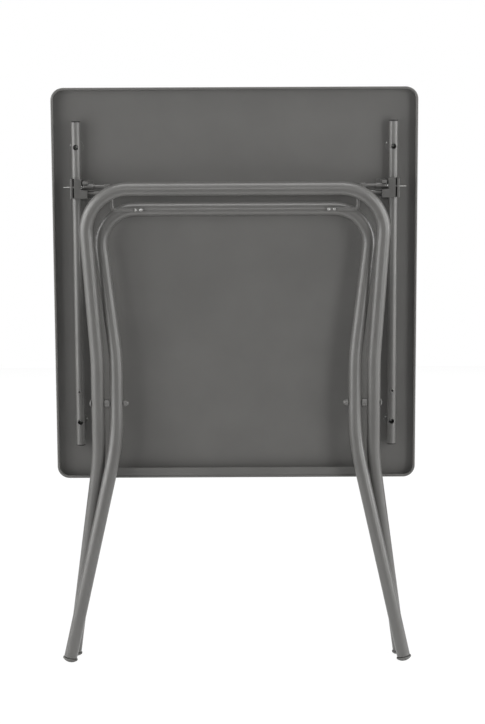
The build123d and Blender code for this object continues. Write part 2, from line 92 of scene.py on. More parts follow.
class NodeSheet:
    """A material's node tree, laid out by short calls."""

    def __init__(self, name: str) -> None:
        """Make an empty node material.

        Args:
            name: the material's name.
        """
        self.material = bpy.data.materials.new(name)
        self.material.use_nodes = True
        self.tree = self.material.node_tree
        self.tree.nodes.clear()
        self.output = self.tree.nodes.new("ShaderNodeOutputMaterial")
        self.place = self.tree.nodes.new("ShaderNodeTexCoord").outputs["Object"]

    def node(self, kind: str, **values: object) -> bpy.types.Node:
        """Add a node and set its properties and its unlinked sockets.

        Args:
            kind: the node's Blender type.
            **values: property or socket names, with _ for a space, and their values.

        Returns:
            The new node.
        """
        made = self.tree.nodes.new(kind)
        for key, value in values.items():
            if hasattr(made, key):
                setattr(made, key, value)
            else:
                made.inputs[key.replace("_", " ")].default_value = value
        return made

    def join(self, start: bpy.types.NodeSocket, end: bpy.types.NodeSocket) -> None:
        """Link one socket to another."""
        self.tree.links.new(start, end)

    def noise(self, scale: float, detail: float = 3.0, fine_share: float = 0.5) -> bpy.types.NodeSocket:
        """Add a noise pattern on the piece's own coordinates.

        Args:
            scale: waves per metre.
            detail: octaves.
            fine_share: how much of each octave the next finer one keeps.

        Returns:
            The pattern's value, about 0 to 1.
        """
        made = self.node("ShaderNodeTexNoise", Scale=scale, Detail=detail, Roughness=fine_share)
        self.join(self.place, made.inputs["Vector"])
        return made.outputs["Fac"]

    def spread(self, value: bpy.types.NodeSocket, low: float, high: float,
               source: tuple[float, float] = (0.3, 0.7)) -> bpy.types.NodeSocket:
        """Map a pattern's middle range onto other limits.

        Args:
            value: the pattern.
            low: result at the source's low end.
            high: result at the source's high end.
            source: the pattern's values that stand for low and high.

        Returns:
            The mapped value.
        """
        made = self.node("ShaderNodeMapRange", clamp=True)
        self.join(value, made.inputs["Value"])
        made.inputs["From Min"].default_value = source[0]
        made.inputs["From Max"].default_value = source[1]
        made.inputs["To Min"].default_value = low
        made.inputs["To Max"].default_value = high
        return made.outputs["Result"]

    def blend(self, amount: bpy.types.NodeSocket, first: Colour, second: Colour) -> bpy.types.NodeSocket:
        """Mix two colours by a pattern.

        Args:
            amount: share of the second colour.
            first: linear colour at 0.
            second: linear colour at 1.

        Returns:
            The mixed colour.
        """
        made = self.node("ShaderNodeMix", data_type="RGBA")
        made.inputs[MIX_FIRST].default_value = (*first, 1.0)
        made.inputs[MIX_SECOND].default_value = (*second, 1.0)
        self.join(amount, made.inputs["Factor"])
        return made.outputs[MIX_RESULT]

    def bump(self, height: bpy.types.NodeSocket, depth: float, strength: float,
             below: bpy.types.NodeSocket | None = None) -> bpy.types.NodeSocket:
        """Turn a pattern into relief.

        Args:
            height: the pattern.
            depth: relief in metres.
            strength: share of the relief that shows.
            below: normal of an earlier relief, which this one adds to.

        Returns:
            The bumped normal.
        """
        made = self.node("ShaderNodeBump", Strength=strength, Distance=depth)
        self.join(height, made.inputs["Height"])
        if below is not None:
            self.join(below, made.inputs["Normal"])
        return made.outputs["Normal"]

    def surface(self, shader: bpy.types.Node) -> bpy.types.Material:
        """Put a shader on the material's surface and give the material."""
        self.join(shader.outputs[0], self.output.inputs["Surface"])
        return self.material


@dataclass(frozen=True)
class PowderCoat:
    """Satin powder coat with a faint mottle, an orange peel and a finer grain on it."""

    name: str
    colour: Colour
    mottle_share: float = 0.06
    roughness: float = 0.42
    specular: float = 0.5
    coat_share: float = 0.12
    coat_roughness: float = 0.3
    mottle_waves: float = 14.0
    mottle_detail: float = 4.0
    gloss_waves: float = 60.0
    gloss_drift: float = 0.04
    peel_waves: float = 520.0
    peel_depth: float = 0.00012
    peel_strength: float = 0.35
    grain_fineness: float = 6.0
    grain_detail: float = 1.0
    grain_strength: float = 0.3

    def build(self) -> bpy.types.Material:
        """Make the material.

        Returns:
            The powder coat's material.
        """
        sheet = NodeSheet(self.name)
        shader = sheet.node("ShaderNodeBsdfPrincipled", Metallic=0.0, Specular_IOR_Level=self.specular,
                            Coat_Weight=self.coat_share, Coat_Roughness=self.coat_roughness)
        dark = tuple(c * (1 - self.mottle_share) for c in self.colour)
        pale = tuple(c * (1 + self.mottle_share) for c in self.colour)
        mottle = sheet.spread(sheet.noise(self.mottle_waves, self.mottle_detail), 0, 1)
        sheet.join(sheet.blend(mottle, dark, pale), shader.inputs["Base Color"])
        gloss = sheet.noise(self.gloss_waves)
        rough = sheet.spread(gloss, self.roughness - self.gloss_drift, self.roughness + self.gloss_drift)
        sheet.join(rough, shader.inputs["Roughness"])
        waves = sheet.noise(self.peel_waves, FINE_DETAIL)
        peel = sheet.bump(waves, self.peel_depth, self.peel_strength)
        fine_waves = sheet.noise(self.peel_waves * self.grain_fineness, self.grain_detail)
        grain = sheet.bump(fine_waves, self.peel_depth / self.grain_fineness, self.grain_strength, peel)
        sheet.join(grain, shader.inputs["Normal"])
        return sheet.surface(shader)


@dataclass(frozen=True)
class ZincPlate:
    """Zinc plated steel: cloudy passivation and a fine grain."""

    name: str
    colour: Colour
    cloud: Colour
    roughness: float = 0.4
    cloud_waves: float = 240.0
    cloud_detail: float = 4.0
    gloss_waves: float = 900.0
    gloss_drop: float = 0.08
    gloss_rise: float = 0.1
    grain_waves: float = 2600.0
    grain_depth: float = 0.00003
    grain_strength: float = 0.4

    def build(self) -> bpy.types.Material:
        """Make the material.

        Returns:
            The zinc plate's material.
        """
        sheet = NodeSheet(self.name)
        shader = sheet.node("ShaderNodeBsdfPrincipled", Metallic=1.0)
        clouds = sheet.spread(sheet.noise(self.cloud_waves, self.cloud_detail), 0, 1)
        sheet.join(sheet.blend(clouds, self.colour, self.cloud), shader.inputs["Base Color"])
        gloss = sheet.noise(self.gloss_waves, FINE_DETAIL)
        rough = sheet.spread(gloss, self.roughness - self.gloss_drop, self.roughness + self.gloss_rise)
        sheet.join(rough, shader.inputs["Roughness"])
        waves = sheet.noise(self.grain_waves, FINE_DETAIL)
        sheet.join(sheet.bump(waves, self.grain_depth, self.grain_strength), shader.inputs["Normal"])
        return sheet.surface(shader)


@dataclass(frozen=True)
class MouldedPlastic:
    """Moulded plastic with a fine spark-eroded grain and a few scuffs."""

    name: str
    colour: Colour
    scuffed: Colour
    roughness: float = 0.55
    specular: float = 0.45
    scuff_waves: float = 120.0
    scuff_detail: float = 5.0
    scuff_fine_share: float = 0.65
    scuff_range: tuple[float, float] = (0.45, 0.8)
    gloss_waves: float = 300.0
    gloss_drop: float = 0.06
    gloss_rise: float = 0.08
    grain_waves: float = 1800.0
    grain_depth: float = 0.00006
    grain_strength: float = 0.5

    def build(self) -> bpy.types.Material:
        """Make the material.

        Returns:
            The plastic's material.
        """
        sheet = NodeSheet(self.name)
        shader = sheet.node("ShaderNodeBsdfPrincipled", Metallic=0.0, Specular_IOR_Level=self.specular)
        patches = sheet.noise(self.scuff_waves, self.scuff_detail, self.scuff_fine_share)
        scuffs = sheet.spread(patches, 0, 1, self.scuff_range)
        sheet.join(sheet.blend(scuffs, self.colour, self.scuffed), shader.inputs["Base Color"])
        gloss = sheet.noise(self.gloss_waves, FINE_DETAIL)
        rough = sheet.spread(gloss, self.roughness - self.gloss_drop, self.roughness + self.gloss_rise)
        sheet.join(rough, shader.inputs["Roughness"])
        waves = sheet.noise(self.grain_waves, FINE_DETAIL)
        sheet.join(sheet.bump(waves, self.grain_depth, self.grain_strength), shader.inputs["Normal"])
        return sheet.surface(shader)


class Finish(Enum):
    """Finishes of the table, by the record's material slot."""

    TRAY = "tray_coat"
    TUBE = "tube_coat"
    SLIDER = "slider_coat"
    ZINC = "zinc_plate"
    CAP = "cap_plastic"
    FOOT = "foot_plastic"
    LINER = "liner_plastic"


@dataclass
class FinishShelf:
    """Every finish of the table, made once."""

    recipes: dict[Finish, PowderCoat | ZincPlate | MouldedPlastic] = field(default_factory=lambda: {
        # The tube coat is a little lighter than the tray coat, though tubes and tray carry one paint: the
        # lighter tube colour is painted light for the tubes' brighter look.
        Finish.TRAY: PowderCoat("tray_coat", (0.110, 0.108, 0.103), mottle_share=0.05, roughness=0.5),
        Finish.TUBE: PowderCoat("tube_coat", (0.125, 0.123, 0.118), mottle_share=0.05, roughness=0.33),
        Finish.SLIDER: PowderCoat("slider_coat", (0.100, 0.098, 0.094), mottle_share=0.07, roughness=0.34),
        Finish.ZINC: ZincPlate("zinc_plate", (0.50, 0.50, 0.49), (0.34, 0.34, 0.33)),
        Finish.CAP: MouldedPlastic("cap_plastic", (0.012, 0.011, 0.011), (0.024, 0.022, 0.022),
                                   roughness=0.7),
        Finish.FOOT: MouldedPlastic("foot_plastic", (0.115, 0.113, 0.108), (0.15, 0.148, 0.14)),
        Finish.LINER: MouldedPlastic("liner_plastic", (0.022, 0.022, 0.022), (0.04, 0.04, 0.04)),
    })
    made: dict[Finish, bpy.types.Material] = field(default_factory=dict)

    def material(self, finish: Finish) -> bpy.types.Material:
        """Give a finish's material, making it at its first use.

        Args:
            finish: the finish.

        Returns:
            The finish's one material.
        """
        if finish not in self.made:
            self.made[finish] = self.recipes[finish].build()
        return self.made[finish]

    def dress_nodes(self) -> None:
        """Give every node of the frame the finish of its own slot in the record."""
        for name, node in frame["nodes"].items():
            for index, slot in enumerate(node.material_slots):
                finish = finish_of(slot.material.name if slot.material else "", name)
                slot.material = self.material(finish)
                log.info("%s slot %d: %s", name, index, finish.value)


def finish_of(slot_name: str, node_name: str) -> Finish:
    """Find a node's finish.

    Args:
        slot_name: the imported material's name.
        node_name: the node's name.

    Returns:
        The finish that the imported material's name stands for.
    """
    for finish in Finish:
        if finish.value in slot_name:
            return finish
    raise ValueError(f"{node_name} has no known finish in {slot_name!r}")


# Places on the frame


@dataclass(frozen=True)
class TrayAxes:
    """Ways of the leaning tray: across it, up along it and out in front of its underside."""

    across: Vector
    up: Vector
    out: Vector

    @classmethod
    def of_frame(cls) -> "TrayAxes":
        """Read the lean from the record's table surface, which faces away from the legs.

        Returns:
            The tray's three ways.
        """
        mounts = frame["record"]["mounts"]
        away = next(Vector(m["axis"]) for m in mounts if m["name"] == "table_surface")
        across = Vector((1.0, 0.0, 0.0))
        out = -away.normalized()
        return cls(across, out.cross(across), out)

    def local(self) -> Matrix:
        """Matrix from the world to distances across, up and out."""
        return Matrix((self.across, self.up, self.out)).to_4x4()

    def spot(self, across: float, up: float, out: float) -> Vector:
        """World point of distances across, up and out."""
        return self.across * across + self.up * up + self.out * out


TRAY = TrayAxes.of_frame()


def seat(origin: Vector, axis: Vector, beside: Vector) -> Matrix:
    """Matrix that stands a turned blank on a point.

    Args:
        origin: world point that the blank's origin goes to.
        axis: way of the blank's Z axis.
        beside: way that the blank's X axis leans towards.

    Returns:
        The blank's place in the world.
    """
    z_way = axis.normalized()
    y_way = z_way.cross(beside).normalized()
    x_way = y_way.cross(z_way)
    return Matrix.Translation(origin) @ Matrix((x_way, y_way, z_way)).transposed().to_4x4()


@dataclass(frozen=True)
class SolidPlace:
    """Lowest and highest distances across, up and out of one solid of the frame."""

    low: Vector
    high: Vector

    @property
    def middle(self) -> Vector:
        """Middle of the solid's extent."""
        return (self.low + self.high) / 2

    @property
    def width(self) -> float:
        """Extent across the tray."""
        return self.high.x - self.low.x

    @property
    def height(self) -> float:
        """Extent up along the tray."""
        return self.high.y - self.low.y

    @property
    def depth(self) -> float:
        """Extent out of the tray."""
        return self.high.z - self.low.z

    @property
    def inner_end(self) -> float:
        """Distance across of the end nearer to the table's middle."""
        return self.low.x if self.middle.x > 0 else self.high.x

    @property
    def outer_end(self) -> float:
        """Distance across of the end nearer to the table's edge."""
        return self.high.x if self.middle.x > 0 else self.low.x

    def upright_seat(self) -> Matrix:
        """Place of a blank that stands on the solid's side next to the tray and points out of it."""
        return seat(TRAY.spot(self.middle.x, self.middle.y, self.low.z), TRAY.out, TRAY.across)

    def level_seat(self, start: float, sign: int) -> Matrix:
        """Place of a blank that lies across the tray, from a distance across, with the sign of its way."""
        return seat(TRAY.spot(start, self.middle.y, self.middle.z), TRAY.across * sign, TRAY.out)


def solids_of(node: str) -> list[SolidPlace]:
    """Find the place of each solid of a node along the tray's ways.

    Args:
        node: the node's name.

    Returns:
        The places, from left to right and from low to high.
    """
    sheet = bmesh.new()
    sheet.from_mesh(frame["nodes"][node].data)
    bmesh.ops.remove_doubles(sheet, verts=sheet.verts, dist=MERGE_DISTANCE)
    sheet.transform(TRAY.local())
    waiting = set(sheet.verts)
    places = []
    while waiting:
        solid = [waiting.pop()]
        for vert in solid:
            near = {edge.other_vert(vert) for edge in vert.link_edges} & waiting
            waiting -= near
            solid += near
        corners = zip(*(vert.co for vert in solid))
        spans = [(min(values), max(values)) for values in corners]
        places.append(SolidPlace(Vector([low for low, _ in spans]), Vector([high for _, high in spans])))
    sheet.free()
    return sorted(places, key=lambda place: tuple(round(c, SORT_DIGITS) for c in place.middle.xy))


def frame_point(mount: str) -> Vector:
    """World point of one of the record's mounts."""
    return next(Vector(m["pos_m"]) for m in frame["record"]["mounts"] if m["name"] == mount)


# Turned and cut pieces


def cap_arc(rim: float, rise: float, top: float, inner: float = 0.0, steps: int = 7) -> Profile:
    """Profile of a domed top from its rim inwards.

    Args:
        rim: radius of the rim.
        rise: height of the whole dome above its rim.
        top: height of the dome's crown.
        inner: radius where the profile ends.
        steps: number of chords.

    Returns:
        Points of radius and height.
    """
    ball = (rim**2 + rise**2) / (2 * rise)
    start, end = math.asin(rim / ball), math.asin(inner / ball)
    turns = [start + (end - start) * i / steps for i in range(steps + 1)]
    return [(ball * math.sin(t), top - ball + ball * math.cos(t)) for t in turns]


def round_over(middle: float, half_width: float, base: float, rise: float, steps: int = 12) -> Profile:
    """Profile of a rolled rim, from its outer foot over its crest to its inner foot.

    Args:
        middle: radius of the crest.
        half_width: half of the rim's width.
        base: height of both feet.
        rise: height of the crest above them.
        steps: number of chords.

    Returns:
        Points of radius and height.
    """
    turns = [math.pi * i / steps for i in range(steps + 1)]
    return [(middle + half_width * math.cos(t), base + rise * math.sin(t)) for t in turns]


def shank_under_head(radius: float, chamfer: float, under: float, head: float) -> Profile:
    """Profile of a fastener from its chamfered tip to the rim of its head's underside.

    Args:
        radius: the shank's radius.
        chamfer: width and height of the tip's chamfer.
        under: height of the head's underside.
        head: the head's radius.

    Returns:
        Points of radius and height.
    """
    return [(0, 0), (radius - chamfer, 0), (radius, chamfer), (radius, under), (head, under)]


def hexagon_corner(across_flats: float) -> float:
    """Radius of a hexagon's corners."""
    return across_flats / 2 / math.cos(math.pi / 6)


class Workpiece:
    """One new piece in the making, joined from turned blanks."""

    socket_reach_share: float = 0.7

    def __init__(self, name: str) -> None:
        """Start an empty piece.

        Args:
            name: the piece's name.
        """
        self.name = name
        self.sheet = bmesh.new()

    def turned(self, profile: Profile, steps: int = 32, loop: bool = False) -> bmesh.types.BMesh:
        """Turn a profile once round its Z axis.

        Args:
            profile: points of radius and height, in order.
            steps: number of steps round the axis.
            loop: whether the profile closes on itself, as a ring's does.

        Returns:
            The turned blank, which isn't part of the piece yet.
        """
        blank = bmesh.new()
        points = [blank.verts.new((radius, 0.0, height)) for radius, height in profile]
        pairs = list(zip(points, points[1:])) + ([(points[-1], points[0])] if loop else [])
        edges = [blank.edges.new(pair) for pair in pairs]
        bmesh.ops.spin(blank, geom=points + edges, cent=(0, 0, 0), axis=(0, 0, 1), dvec=(0, 0, 0),
                       angle=2 * math.pi, steps=steps, use_merge=True)
        return blank

    def hexed(self, blank: bmesh.types.BMesh, across_flats: float, low: float, high: float,
              socket: bool = False) -> None:
        """Cut six flats on the part of a turned blank between two heights.

        Args:
            blank: the turned blank.
            across_flats: distance between two opposite flats.
            low: height where the flats start.
            high: height where they end.
            socket: whether the flats line a socket near the axis instead of cutting the outside.
        """
        socket_reach = across_flats * self.socket_reach_share
        for vert in blank.verts:
            radius = math.hypot(vert.co.x, vert.co.y)
            if not low <= vert.co.z <= high or radius < MERGE_DISTANCE:
                continue
            turn = math.atan2(vert.co.y, vert.co.x) % (math.pi / 3) - math.pi / 6
            limit = across_flats / 2 / math.cos(turn)
            if (socket and radius < socket_reach) or (not socket and radius > limit):
                vert.co.xy *= limit / radius

    def add(self, blank: bmesh.types.BMesh, place: Matrix) -> None:
        """Close a blank's seams, point its faces outwards and add it at a place.

        Args:
            blank: the turned blank, which is used up.
            place: the blank's place in the world.
        """
        bmesh.ops.remove_doubles(blank, verts=blank.verts, dist=MERGE_DISTANCE)
        bmesh.ops.recalc_face_normals(blank, faces=blank.faces)
        blank.transform(place)
        mesh = bpy.data.meshes.new("blank")
        blank.to_mesh(mesh)
        blank.free()
        self.sheet.from_mesh(mesh)
        bpy.data.meshes.remove(mesh)

    def finish(self, shelf: FinishShelf, finish: Finish, body: Body, *stands_for: str) -> bpy.types.Object:
        """Make the piece's object, dress it and let it ride on its body.

        Args:
            shelf: the finishes.
            finish: the piece's finish.
            body: the body that it moves with.
            *stands_for: nodes of the frame that it is shown instead of.

        Returns:
            The finished piece.
        """
        mesh = bpy.data.meshes.new(self.name)
        self.sheet.to_mesh(mesh)
        self.sheet.free()
        mesh.polygons.foreach_set("use_smooth", [True] * len(mesh.polygons))
        mesh.set_sharp_from_angle(angle=SHARP_ANGLE)
        mesh.materials.append(shelf.material(finish))
        piece = bpy.data.objects.new(self.name, mesh)
        bpy.context.scene.collection.objects.link(piece)
        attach(piece, body.value)
        if stands_for:
            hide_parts(*stands_for)
        log.info("%s on %s: %d faces, %s", self.name, body.value, len(mesh.polygons), finish.value)
        return piece


@dataclass
class RailScrews:
    """Button head screws that hold the rails, with hexagon sockets, under the access holes."""

    head_height: float = 0.0024
    dome_rise: float = 0.0012
    shank_radius: float = 0.0025
    point_chamfer: float = 0.0006
    socket_flats: float = 0.0018
    socket_depth: float = 0.0004
    socket_cone: float = 0.0002
    steps_round: int = 48

    def build(self, shelf: FinishShelf) -> bpy.types.Object:
        """Make the four screws.

        Args:
            shelf: the finishes.

        Returns:
            The four screws as one piece.
        """
        piece = Workpiece("rail_screw_set")
        for place in solids_of("rail_screws"):
            head = place.width / 2
            top = place.depth
            mouth = hexagon_corner(self.socket_flats)
            floor = top - self.socket_depth
            profile = shank_under_head(self.shank_radius, self.point_chamfer, top - self.head_height, head)
            profile += cap_arc(head, self.dome_rise, top, mouth)
            profile += [(mouth, floor), (0, floor - self.socket_cone)]
            blank = piece.turned(profile, self.steps_round)
            piece.hexed(blank, self.socket_flats, floor - MERGE_DISTANCE, top, socket=True)
            piece.add(blank, place.upright_seat())
        return piece.finish(shelf, Finish.ZINC, Body.TABLETOP, "rail_screws")


@dataclass
class StopRivets:
    """Painted hollow rivets that stop the sliders, with rolled heads and flared tails."""

    hole_radius: float = 0.00125
    shank_radius: float = 0.0022
    head_height: float = 0.0018
    skirt: float = 0.0011
    flare: float = 0.0007
    flare_height: float = 0.0008
    steps_round: int = 40

    def build(self, shelf: FinishShelf) -> bpy.types.Object:
        """Make both rivets.

        Args:
            shelf: the finishes.

        Returns:
            Both rivets as one piece.
        """
        piece = Workpiece("stop_rivet_pair")
        for place in solids_of("stop_rivets"):
            head = place.width / 2
            base = place.depth - self.head_height
            tail = self.shank_radius + self.flare
            profile = [(self.hole_radius, 0), (tail - self.flare / 2, 0), (tail, self.flare_height / 2),
                       (self.shank_radius, self.flare_height), (self.shank_radius, base - self.skirt),
                       (head, base - self.skirt)]
            middle = (head + self.hole_radius) / 2
            profile += round_over(middle, head - middle, base, self.head_height)
            piece.add(piece.turned(profile, self.steps_round, loop=True), place.upright_seat())
        return piece.finish(shelf, Finish.TUBE, Body.TABLETOP, "stop_rivets")


@dataclass
class RailEndCaps:
    """Moulded caps in the rail ends, with a rounded edge, a parting groove and a ribbed plug."""

    flange: float = 0.0016
    edge_round: float = 0.0008
    edge_steps: int = 4
    groove: float = 0.0003
    plug_inset: float = 0.00125
    tip_inset: float = 0.001
    rib_depth: float = 0.00025
    ribs: int = 4
    rib_start_share: float = 0.3
    rib_end_share: float = 0.7

    def build(self, shelf: FinishShelf) -> bpy.types.Object:
        """Make the four caps.

        Args:
            shelf: the finishes.

        Returns:
            The four caps as one piece.
        """
        piece = Workpiece("rail_end_cap_set")
        places = solids_of("rail_end_caps")
        middle_up = sum(place.middle.y for place in places) / len(places)
        for place in places:
            low_end = place.middle.y < middle_up
            outer_up, inwards = (place.low.y, TRAY.up) if low_end else (place.high.y, -TRAY.up)
            origin = TRAY.spot(place.middle.x, outer_up, place.middle.z)
            profile = self.profile(place.width / 2, place.height)
            piece.add(piece.turned(profile), seat(origin, inwards, TRAY.across))
        return piece.finish(shelf, Finish.CAP, Body.TABLETOP, "rail_end_caps")

    def profile(self, radius: float, length: float) -> Profile:
        """Profile of a cap from its outer face inwards.

        Args:
            radius: the flange's radius.
            length: the cap's whole length.

        Returns:
            Points of radius and height.
        """
        turns = [math.pi / 2 * i / self.edge_steps for i in range(self.edge_steps + 1)]
        edge = [(radius - self.edge_round * (1 - math.sin(t)), self.edge_round * (1 - math.cos(t)))
                for t in turns]
        points = [(0.0, 0.0), *edge, (radius, self.flange - self.groove),
                  (radius - self.groove, self.flange)]
        plug = radius - self.plug_inset
        pitch = (length - self.flange) / self.ribs
        for rib in range(self.ribs):
            start = self.flange + rib * pitch
            points += [(plug - self.rib_depth, start), (plug, start + pitch * self.rib_start_share),
                       (plug, start + pitch * self.rib_end_share)]
        return points + [(plug - self.tip_inset, length), (0.0, length)]


@dataclass
class WeldNubs:
    """Short cut-off weld studs on the bases of the standoffs, each with its own reach aside and up."""

    radius: float = 0.0015
    height: float = 0.0038
    dome_rise: float = 0.001
    reaches: tuple[tuple[float, float], ...] = (
        (0.0098, 0.0036), (-0.0090, 0.0032), (-0.0088, 0.0042), (-0.0100, 0.0046),
    )
    steps_round: int = 20

    def build(self, shelf: FinishShelf) -> bpy.types.Object:
        """Make the four studs, one on each standoff's base.

        Args:
            shelf: the finishes.

        Returns:
            The four studs as one piece.
        """
        piece = Workpiece("standoff_weld_nubs")
        for place, (aside, above) in zip(solids_of("rail_standoffs"), self.reaches):
            profile = [(0, 0), (self.radius, 0), *cap_arc(self.radius, self.dome_rise, self.height)]
            origin = TRAY.spot(place.middle.x + aside, place.middle.y + above, place.low.z)
            piece.add(piece.turned(profile, self.steps_round), seat(origin, TRAY.out, TRAY.across))
        return piece.finish(shelf, Finish.ZINC, Body.TABLETOP)


@dataclass
class ClampScrews:
    """Self-tapping screws across the slider clamps, with recessed pan heads, threads and points."""

    head_height: float = 0.0019
    head_edge_share: float = 1 / 3
    core_radius: float = 0.00125
    crest_radius: float = 0.0017
    thread_root_share: float = 0.9
    thread_half_width: float = 0.00042
    thread_end_gap: float = 0.0008
    pitch: float = 0.0013
    point_length: float = 0.012
    point_radius: float = 0.0004
    recess_radius: float = 0.0012
    recess_depth: float = 0.001
    steps_a_turn: int = 18

    def build(self, shelf: FinishShelf) -> list[bpy.types.Object]:
        """Make both screws."""
        return [self.screw(shelf, side) for side in Side]

    def screw(self, shelf: FinishShelf, side: Side) -> bpy.types.Object:
        """Make one side's screw, with its point towards the table's edge.

        Args:
            shelf: the finishes.
            side: the screw's side.

        Returns:
            The screw.
        """
        node = f"{side.word}_clamp_screw"
        place = solids_of(node)[0]
        length = place.width
        head = place.height / 2
        edge = self.head_height * self.head_edge_share
        profile = [(0, self.recess_depth), (self.recess_radius, self.recess_depth),
                   (self.recess_radius, 0), (head - edge, 0), (head, edge), (head, self.head_height),
                   (self.core_radius, self.head_height), (self.core_radius, length - self.point_length),
                   (self.point_radius, length - self.point_radius), (0, length)]
        spot = place.level_seat(place.inner_end, side.value)
        piece = Workpiece(f"{side.word}_clamp_screw_threaded")
        piece.add(piece.turned(profile), spot)
        piece.add(self.thread(length), spot)
        return piece.finish(shelf, Finish.ZINC, Body(f"{side.word}_slider"), node)

    def thread(self, length: float) -> bmesh.types.BMesh:
        """Turn the thread's ridge up the shank, and draw it in along the point.

        Args:
            length: the screw's whole length.

        Returns:
            The thread's blank.
        """
        blank = bmesh.new()
        root, half = self.core_radius * self.thread_root_share, self.thread_half_width
        low = self.head_height + half
        corners = ((root, low - half), (self.crest_radius, low), (root, low + half))
        ring = [blank.verts.new((radius, 0.0, height)) for radius, height in corners]
        edges = [blank.edges.new((ring[i - 1], ring[i])) for i in range(len(ring))]
        turns = (length - low - self.thread_end_gap) / self.pitch
        steps = round(turns * self.steps_a_turn)
        bmesh.ops.spin(blank, geom=ring + edges, cent=(0, 0, 0), axis=(0, 0, 1),
                       dvec=(0, 0, self.pitch / self.steps_a_turn),
                       angle=2 * math.pi * steps / self.steps_a_turn, steps=steps)
        bmesh.ops.holes_fill(blank, edges=blank.edges, sides=len(ring))
        start = length - self.point_length
        for vert in blank.verts:
            share = max(0.0, vert.co.z - start) / self.point_length
            vert.co.xy *= 1 - share * (1 - self.point_radius / self.core_radius)
        return blank


@dataclass
class PivotHardware:
    """Domed bolts with hexagon sockets and cap nuts where the two frames cross."""

    bolt_radius: float = 0.003
    bolt_head_height: float = 0.0034
    bolt_head_rim: float = 0.0009
    bolt_point_chamfer: float = 0.0005
    socket_flats: float = 0.004
    socket_depth: float = 0.0018
    nut_height: float = 0.0046
    nut_chamfer: float = 0.0007
    nut_dome_radius: float = 0.0043
    nut_dome_foot: float = 0.0042
    nut_bore_depth: float = 0.007
    dome_steps: int = 9
    steps_round: int = 48

    def build(self, shelf: FinishShelf) -> list[bpy.types.Object]:
        """Make both bolts and both nuts."""
        return [make(shelf, side) for side in Side for make in (self.bolt, self.nut)]

    def bolt(self, shelf: FinishShelf, side: Side) -> bpy.types.Object:
        """Make one side's bolt, with its head on the outer leg.

        Args:
            shelf: the finishes.
            side: the bolt's side.

        Returns:
            The bolt.
        """
        node = f"{side.word}_pivot_bolt"
        place = solids_of(node)[0]
        head = place.height / 2
        top = place.width
        mouth = hexagon_corner(self.socket_flats)
        floor = top - self.socket_depth
        profile = shank_under_head(self.bolt_radius, self.bolt_point_chamfer,
                                   top - self.bolt_head_height, head)
        profile += cap_arc(head, self.bolt_head_height - self.bolt_head_rim, top, mouth, self.dome_steps)
        profile += [(mouth, floor), (0, floor)]
        piece = Workpiece(f"{side.word}_pivot_bolt_domed")
        blank = piece.turned(profile, self.steps_round)
        piece.hexed(blank, self.socket_flats, floor - MERGE_DISTANCE, top, socket=True)
        piece.add(blank, place.level_seat(place.inner_end, side.value))
        return piece.finish(shelf, Finish.TUBE, Body.OUTER_FRAME, node)

    def nut(self, shelf: FinishShelf, side: Side) -> bpy.types.Object:
        """Make one side's cap nut, with its dome towards the table's middle.

        Args:
            shelf: the finishes.
            side: the nut's side.

        Returns:
            The nut.
        """
        node = f"{side.word}_pivot_nut"
        place = solids_of(node)[0]
        flats = min(place.height, place.depth)
        corner = hexagon_corner(flats)
        top = place.width
        chamfer = self.nut_chamfer
        profile = [(0, self.nut_bore_depth), (self.bolt_radius, self.nut_bore_depth), (self.bolt_radius, 0),
                   (flats / 2, 0), (corner, chamfer), (corner, self.nut_height - chamfer),
                   (flats / 2 - chamfer / 2, self.nut_height), (self.nut_dome_radius, self.nut_height)]
        profile += cap_arc(self.nut_dome_foot, top - self.nut_height, top, steps=self.dome_steps)
        piece = Workpiece(f"{side.word}_pivot_cap_nut")
        blank = piece.turned(profile, self.steps_round)
        piece.hexed(blank, flats, 0.0, self.nut_height - MERGE_DISTANCE)
        piece.add(blank, place.level_seat(place.outer_end, -side.value))
        return piece.finish(shelf, Finish.TUBE, Body.OUTER_FRAME, node)


@dataclass
class CrankRivets:
    """Bright button rivets that hold the crank rods on the inner crossbar."""

    shank_radius: float = 0.0015
    head_height: float = 0.0013
    head_rim: float = 0.0003
    flat_radius: float = 0.0007
    tail_chamfer: float = 0.0003
    steps_round: int = 28

    def build(self, shelf: FinishShelf) -> bpy.types.Object:
        """Make the four rivets.

        Args:
            shelf: the finishes.

        Returns:
            The four rivets as one piece.
        """
        piece = Workpiece("crank_rivet_set")
        for place in solids_of("crank_rivets"):
            head = place.width / 2
            top = place.depth
            profile = shank_under_head(self.shank_radius, self.tail_chamfer, top - self.head_height, head)
            profile += cap_arc(head, self.head_height - self.head_rim, top, self.flat_radius)
            profile += [(0, profile[-1][1])]
            piece.add(piece.turned(profile, self.steps_round), place.upright_seat())
        return piece.finish(shelf, Finish.ZINC, Body.INNER_FRAME, "crank_rivets")


